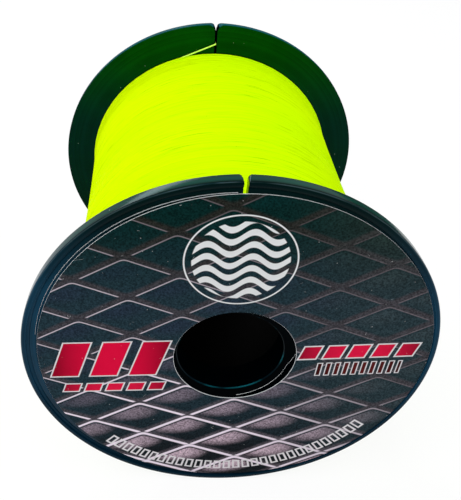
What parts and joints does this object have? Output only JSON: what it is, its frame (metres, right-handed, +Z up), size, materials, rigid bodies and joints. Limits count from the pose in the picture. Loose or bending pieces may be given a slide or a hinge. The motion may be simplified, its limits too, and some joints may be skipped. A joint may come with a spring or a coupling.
{
  "type": "fishing line spool",
  "caption": "Flanged spool of braided fishing line with a round face label, a spindle bore, a line slit in each flange and the line's tail held in the rear slit.",
  "frame": {"origin": "middle of the spindle bore's axis, half way between the two rims", "axes": "+Y along the bore axis from the labelled face to the rear flange, +Z up with the line slits at the top, +X to the right seen from the label"},
  "size_m": [0.078, 0.072, 0.078],
  "materials": {
    "flange_plastic": "satin black moulded plastic",
    "core_plastic": "plain black extruded plastic",
    "label_paper": "printed, with a gloss film",
    "tape": "matt adhesive tape",
    "line": "fluorescent yellow-green braid"
  },
  "bodies": {
    "root": {"front_flange": "flange_plastic", "rear_flange": "flange_plastic", "core_tube": "core_plastic", "face_label": "label_paper", "anchor_tape": "tape", "line_pack": "line", "line_outer_turns": "line"}
  },
  "joints": []
}
